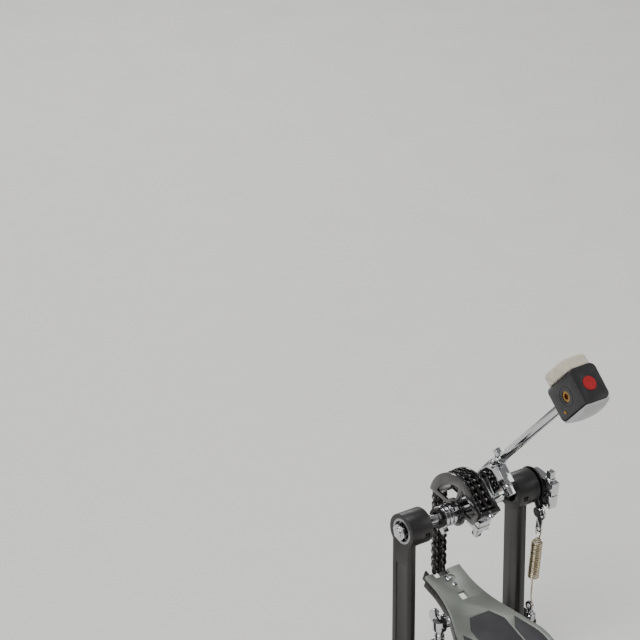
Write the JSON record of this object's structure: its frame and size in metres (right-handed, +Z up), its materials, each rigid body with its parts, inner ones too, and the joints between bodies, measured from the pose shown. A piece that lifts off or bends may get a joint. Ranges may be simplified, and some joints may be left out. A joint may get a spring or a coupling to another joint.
{
  "type": "bass drum pedal",
  "caption": "Bass drum pedal with a chain-driven beater on a hex axle between two posts, a footboard, a return spring and a hoop clamp.",
  "frame": {"origin": "on the floor under the middle of the axle", "axes": "+X to the player's right along the axle, +Y forward to the drum, +Z up"},
  "size_m": [0.1519, 0.304, 0.3685],
  "materials": {
    "black_casting": "satin powder coat",
    "black_steel": "satin",
    "bright_chrome": "polished",
    "bearing_steel": "ground",
    "chain_steel": "black oxide, oiled",
    "board_aluminium": "satin anodised",
    "grip_rubber": "matte moulded",
    "mat_rubber": "ribbed",
    "felt": "pressed wool felt",
    "head_plastic": "satin moulded",
    "rear_plastic": "smooth",
    "brass": "turned",
    "badge_enamel": "blank domed",
    "spring_steel": "nickel plated",
    "base_steel": "textured powder coat"
  },
  "bodies": {
    "frame": {"rubber_mat": "mat_rubber", "base_plate": "base_steel", "front_casting": "black_casting", "left_post": "black_casting", "right_post": "black_casting", "post_bolts": "black_steel", "hub_set_screws": "black_steel", "bearing_outer_rings": "bearing_steel", "jaw_pivot_pin": "bright_chrome", "heel_plate": "black_casting", "heel_hinge_pin": "bright_chrome", "heel_screws": "bright_chrome", "spring_bracket": "black_steel", "bracket_screws": "black_steel", "eye_rod": "bright_chrome"},
    "drive": {"hex_axle": "bright_chrome", "bearing_inner_rings": "bearing_steel", "bearing_balls": "bearing_steel", "axle_nut": "bright_chrome", "axle_spacer": "black_steel", "clamp_collar": "bright_chrome", "collar_screw": "bright_chrome", "drive_wheel": "black_casting", "wheel_strip": "mat_rubber", "wheel_clamp_bolt": "bright_chrome", "chain_wrap": "chain_steel", "chain_end_screw": "bright_chrome", "beater_holder": "bright_chrome", "holder_key_bolt": "bright_chrome", "rocker_disc": "black_steel", "spring_pin": "bright_chrome", "rocker_clamp": "bright_chrome", "rocker_key_bolt": "bright_chrome"},
    "chain_4": {"chain_link_4": "chain_steel", "chain_link_3": "chain_steel"},
    "chain_2": {"chain_link_2": "chain_steel", "chain_link_1": "chain_steel"},
    "strand": {"chain_strand": "chain_steel"},
    "shaft": {"beater_shaft": "bright_chrome", "memory_lock": "bright_chrome"},
    "head": {"beater_body": "head_plastic", "beater_side_screw": "brass", "beater_badge": "badge_enamel", "beater_felt": "felt", "beater_rear_pad": "rear_plastic"},
    "board": {"footboard": "board_aluminium", "grip_pads": "grip_rubber", "footboard_frame": "black_steel", "toe_bracket": "black_steel", "chain_bolt": "bright_chrome", "toe_screw": "bright_chrome"},
    "spring_low": {"return_spring": "spring_steel"},
    "spring_top": {"spring_link": "bright_chrome"},
    "nut": {"tension_nut": "bright_chrome"},
    "knob": {"lock_knob": "head_plastic"},
    "jaw": {"clamp_jaw": "black_casting", "jaw_pad": "grip_rubber"},
    "wing": {"wing_bolt": "bright_chrome"},
    "left_screw": {"left_spur": "bright_chrome"},
    "right_screw": {"right_spur": "bright_chrome"}
  },
  "joints": [
    {"name": "beater_swing", "type": "hinge", "parent": "frame", "child": "drive", "pos_m": [0, 0, 0.19], "axis": [-1, 0, 0], "range_deg": [0, 60], "stiffness_Nm_per_rad": 0.12, "springref_deg": -51.57},
    {"name": "chain_hinge_4", "type": "hinge", "parent": "drive", "child": "chain_4", "pos_m": [0, 0.02032, 0.21257], "axis": [-1, 0, 0], "range_deg": [-26, 2]},
    {"name": "chain_hinge_2", "type": "hinge", "parent": "chain_4", "child": "chain_2", "pos_m": [0, 0.02774, 0.20235], "axis": [-1, 0, 0], "range_deg": [-26, 2]},
    {"name": "strand_hinge", "type": "hinge", "parent": "chain_2", "child": "strand", "pos_m": [0, 0.03037, 0.19], "axis": [-1, 0, 0], "range_deg": [-24, 2]},
    {"name": "shaft_height", "type": "slide", "parent": "drive", "child": "shaft", "axis": [0, -0.6947, 0.7193], "range_m": [0, 0.012]},
    {"name": "head_turn", "type": "hinge", "parent": "shaft", "child": "head", "pos_m": [0.0125, 0.01187, 0.20146], "axis": [0, -0.6947, 0.7193], "range_deg": [-180, 180]},
    {"name": "footboard_tilt", "type": "hinge", "parent": "frame", "child": "board", "pos_m": [0, -0.1836, 0.024], "axis": [-1, 0, 0], "range_deg": [0, 8.13]},
    {"name": "spring_tilt", "type": "hinge", "parent": "frame", "child": "spring_low", "pos_m": [0.0687, -0.0035, 0.077], "axis": [1, 0, 0], "range_deg": [0, 4.14]},
    {"name": "spring_stretch", "type": "slide", "parent": "spring_low", "child": "spring_top", "axis": [0, -0.1172, 0.9931], "range_m": [0, 0.0222], "deforming": ["return_spring"]},
    {"name": "tension_nut_turn", "type": "hinge", "parent": "frame", "child": "nut", "pos_m": [0.0687, -0.0035, 0.066], "axis": [0, 0, 1], "range_deg": [-720, 720]},
    {"name": "lock_knob_turn", "type": "hinge", "parent": "frame", "child": "knob", "pos_m": [0.0687, -0.0035, 0.05], "axis": [0, 0, 1], "range_deg": [-720, 720]},
    {"name": "wing_turn", "type": "hinge", "parent": "frame", "child": "wing", "pos_m": [-0.036, -0.012, 0.06], "axis": [0, 0, -1], "range_deg": [-1080, 1080]},
    {"name": "jaw_tilt", "type": "hinge", "parent": "frame", "child": "jaw", "pos_m": [0, 0.028, 0.033], "axis": [-1, 0, 0], "range_deg": [-5.4, 5.4]},
    {"name": "left_spur_screw", "type": "slide", "parent": "frame", "child": "left_screw", "axis": [0, 0, -1], "range_m": [0, 0.004]},
    {"name": "right_spur_screw", "type": "slide", "parent": "frame", "child": "right_screw", "axis": [0, 0, -1], "range_m": [0, 0.004]}
  ],
  "couplings": [
    {"joint": "chain_hinge_4", "follows": "beater_swing", "ratio": -0.4},
    {"joint": "chain_hinge_2", "follows": "beater_swing", "ratio": -0.4},
    {"joint": "strand_hinge", "follows": "beater_swing", "ratio": -0.36783},
    {"joint": "footboard_tilt", "follows": "beater_swing", "ratio": 0.1355},
    {"joint": "spring_tilt", "follows": "beater_swing", "ratio": 0.069},
    {"joint": "spring_stretch", "follows": "beater_swing", "m_per_rad": 0.021199},
    {"joint": "jaw_tilt", "follows": "wing_turn", "ratio": 0.004974}
  ]
}
